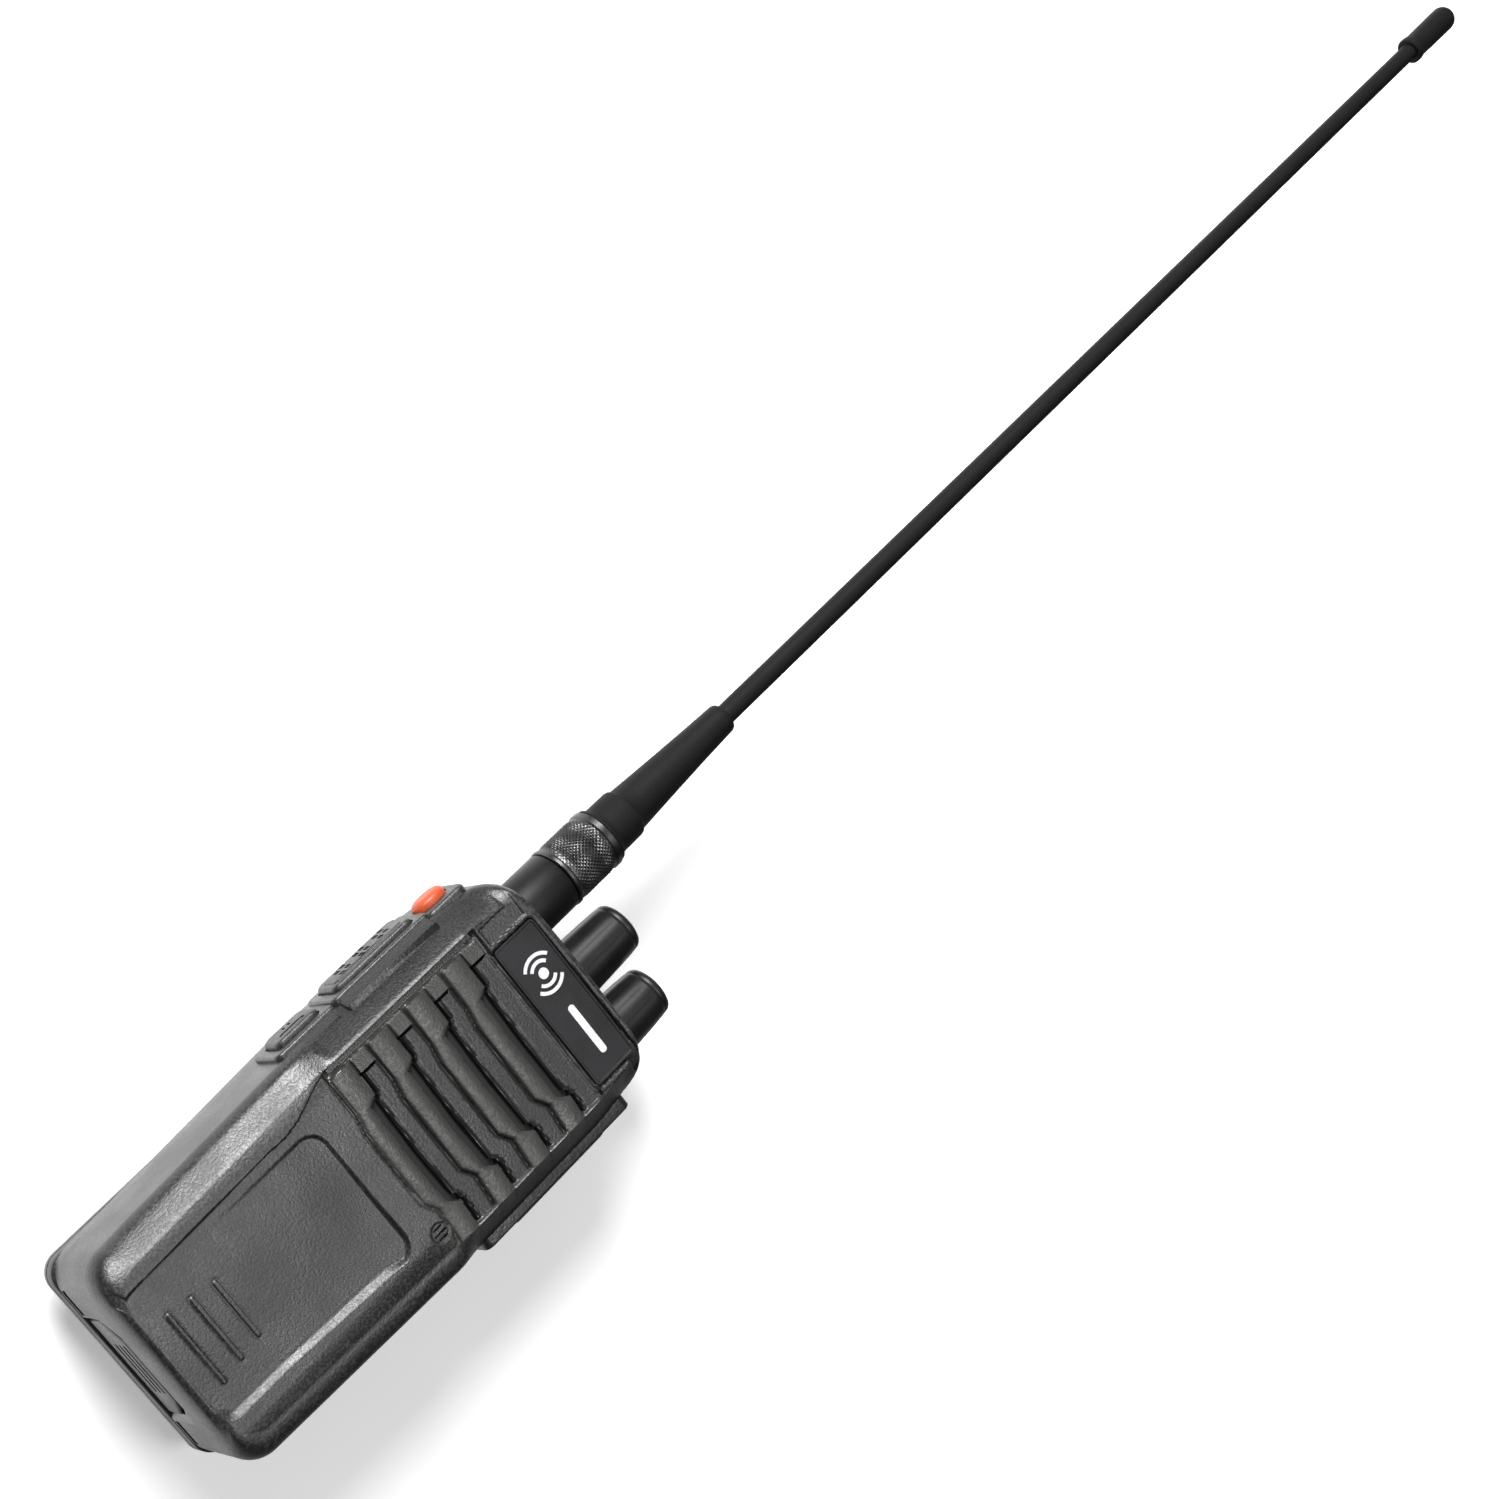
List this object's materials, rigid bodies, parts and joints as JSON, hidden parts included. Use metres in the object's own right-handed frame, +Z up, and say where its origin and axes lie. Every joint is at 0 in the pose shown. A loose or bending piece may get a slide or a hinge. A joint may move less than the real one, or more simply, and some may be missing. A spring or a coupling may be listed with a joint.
{
  "type": "handheld two-way radio",
  "caption": "Black handheld two-way radio with a long whip antenna, two top knobs, side keys, slotted speaker grille, swing-out battery and belt clip.",
  "frame": {"origin": "centre of the bounding box on the base, on the surface that the radio stands on", "axes": "+Z up along the antenna, front face towards -Y, push-to-talk side towards -X"},
  "size_m": [0.069, 0.043, 0.535],
  "materials": {
    "shell_plastic": "fine moulded texture",
    "battery_plastic": "fine moulded texture",
    "clip_plastic": "satin",
    "knob_plastic": "satin",
    "antenna_plastic": "smooth satin",
    "jack_plastic": "satin",
    "label_gloss": "gloss",
    "led_clear": "clear",
    "antenna_rubber": "smooth moulded rubber",
    "seal_rubber": "matt",
    "key_rubber": "matt",
    "cover_rubber": "matt",
    "orange_rubber": "satin",
    "cloth": "woven mesh",
    "cone_paper": "coated",
    "knurled_metal": "black plated, knurled",
    "plated_steel": "nickel plated",
    "shield_metal": "tinned",
    "contact_brass": "gold plated",
    "cast_chassis": "die cast, black coated",
    "circuit_board": "solder mask",
    "cell_wrap": "shrink wrap"
  },
  "bodies": {
    "housing": {"front_shell": "shell_plastic", "label_plate": "label_gloss", "grille_cloth": "cloth", "speaker_frame": "plated_steel", "speaker_cone": "cone_paper", "speaker_magnet": "plated_steel", "mic_boot": "seal_rubber", "microphone": "shield_metal", "main_board": "circuit_board", "rf_shields": "shield_metal", "chassis": "cast_chassis", "chassis_gasket": "seal_rubber", "chassis_screws": "plated_steel", "antenna_socket": "contact_brass", "socket_nut": "plated_steel", "volume_pot": "plated_steel", "channel_switch": "plated_steel", "control_nuts": "plated_steel", "led_lens": "led_clear", "side_keypad": "seal_rubber", "side_switches": "circuit_board", "audio_jacks": "jack_plastic", "cover_hinge_pin": "plated_steel", "battery_springs": "contact_brass", "clip_bracket": "clip_plastic", "clip_screws": "plated_steel", "clip_pin": "plated_steel", "clip_spring": "plated_steel", "latch_spring": "plated_steel"},
    "battery": {"battery_case": "battery_plastic", "battery_lid": "battery_plastic", "battery_cells": "cell_wrap", "battery_board": "circuit_board", "battery_terminals": "contact_brass", "charging_contacts": "plated_steel"},
    "battery_latch": {"latch_slider": "shell_plastic"},
    "antenna_seal": {"antenna_washer": "seal_rubber"},
    "antenna": {"antenna_base": "antenna_plastic", "antenna_ring": "knurled_metal", "antenna_contact": "contact_brass", "antenna_boot": "antenna_rubber", "antenna_whip": "antenna_rubber", "antenna_tip": "antenna_rubber"},
    "volume_control": {"volume_shaft": "plated_steel", "volume_knob": "knob_plastic"},
    "channel_control": {"channel_shaft": "plated_steel", "channel_knob": "knob_plastic"},
    "talk_key": {"ptt_button": "key_rubber"},
    "monitor_key": {"monitor_button": "key_rubber"},
    "alarm_key": {"alarm_button": "orange_rubber"},
    "side_cover": {"jack_cover": "cover_rubber"},
    "belt_clip": {"clip_lever": "clip_plastic"}
  },
  "joints": [
    {"name": "talk_press", "type": "slide", "parent": "housing", "child": "talk_key", "axis": [1, 0, 0], "range_m": [0, 0.001], "stiffness_N_per_m": 1500, "springref_m": -0.0006},
    {"name": "monitor_press", "type": "slide", "parent": "housing", "child": "monitor_key", "axis": [1, 0, 0], "range_m": [0, 0.001], "stiffness_N_per_m": 1200, "springref_m": -0.0006},
    {"name": "alarm_press", "type": "slide", "parent": "housing", "child": "alarm_key", "axis": [1, 0, 0], "range_m": [0, 0.001], "stiffness_N_per_m": 1200, "springref_m": -0.0006},
    {"name": "volume_turn", "type": "hinge", "parent": "housing", "child": "volume_control", "pos_m": [0.0037, -0.0055, 0.138], "axis": [0, 0, -1], "range_deg": [0, 270]},
    {"name": "channel_turn", "type": "hinge", "parent": "housing", "child": "channel_control", "pos_m": [0.0198, -0.0055, 0.136], "axis": [0, 0, -1], "range_deg": [0, 337.5]},
    {"name": "antenna_rise", "type": "slide", "parent": "housing", "child": "antenna_seal", "axis": [0, 0, 1], "range_m": [0, 0.0028]},
    {"name": "antenna_unscrew", "type": "hinge", "parent": "antenna_seal", "child": "antenna", "pos_m": [-0.015, -0.0055, 0.136], "axis": [0, 0, 1], "range_deg": [0, 1440]},
    {"name": "battery_swing", "type": "hinge", "parent": "housing", "child": "battery", "pos_m": [0, 0.0085, 0.095], "axis": [1, 0, 0], "range_deg": [0, 5]},
    {"name": "latch_push", "type": "slide", "parent": "housing", "child": "battery_latch", "axis": [0, -1, 0], "range_m": [0, 0.0018], "stiffness_N_per_m": 600, "springref_m": -0.0008},
    {"name": "cover_open", "type": "hinge", "parent": "housing", "child": "side_cover", "pos_m": [0.0334, -0.0001, 0.0955], "axis": [0, 0, 1], "range_deg": [0, 120]},
    {"name": "clip_squeeze", "type": "hinge", "parent": "housing", "child": "belt_clip", "pos_m": [0, 0.0165, 0.109], "axis": [1, 0, 0], "range_deg": [0, 15], "stiffness_Nm_per_rad": 1.2, "springref_deg": -8.59}
  ],
  "couplings": [
    {"joint": "antenna_unscrew", "follows": "antenna_rise", "rad_per_m": 8976}
  ]
}
